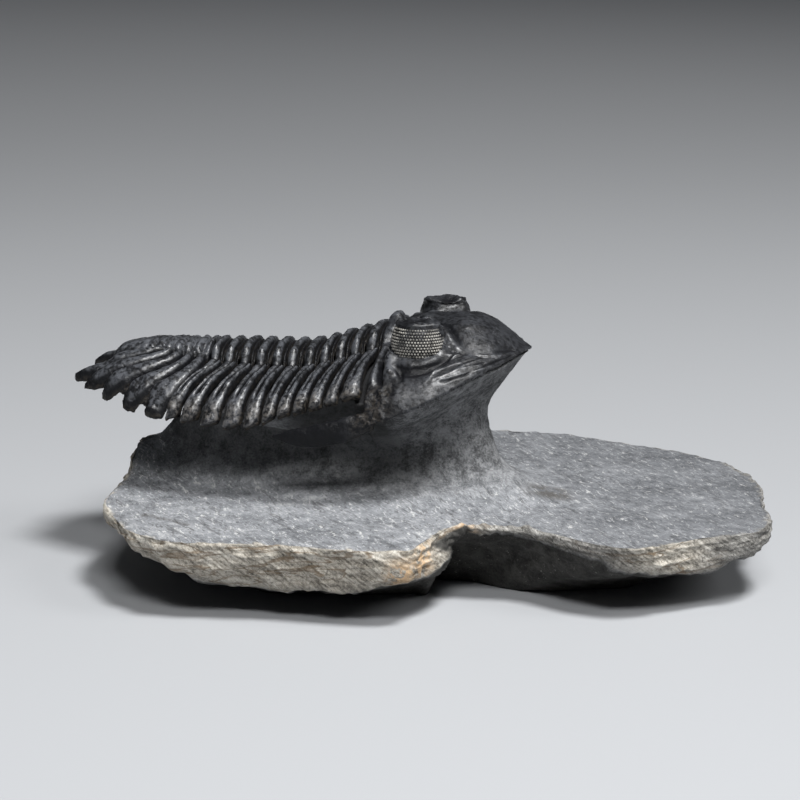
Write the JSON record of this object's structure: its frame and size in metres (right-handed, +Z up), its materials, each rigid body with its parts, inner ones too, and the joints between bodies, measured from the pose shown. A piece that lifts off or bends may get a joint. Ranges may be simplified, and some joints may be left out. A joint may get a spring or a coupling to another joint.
{
  "type": "fossil trilobite on rock matrix",
  "caption": "Long-bodied fossil trilobite with tall compound eyes, ringed body and spined tail, raised on a carved stalk of its own broken rock slab.",
  "frame": {"origin": "on the ground under the stone's stalk, in the plane of its flat base", "axes": "+Z up from the ground; +X along the slab towards the side that the animal's head points to; +Y towards the animal's left"},
  "size_m": [0.0947, 0.0724, 0.0348],
  "materials": {
    "shell": "near-black calcite, air-abraded to a soft sheen",
    "rock": "blue-grey limestone, tooled on top, raw and broken at the rim"
  },
  "bodies": {
    "root": {"matrix": "rock", "cephalon": "shell", "thoracic_segment_01": "shell", "thoracic_segment_02": "shell", "thoracic_segment_03": "shell", "thoracic_segment_04": "shell", "thoracic_segment_05": "shell", "thoracic_segment_06": "shell", "thoracic_segment_07": "shell", "thoracic_segment_08": "shell", "thoracic_segment_09": "shell", "thoracic_segment_10": "shell", "thoracic_segment_11": "shell", "pygidium": "shell"}
  },
  "joints": []
}
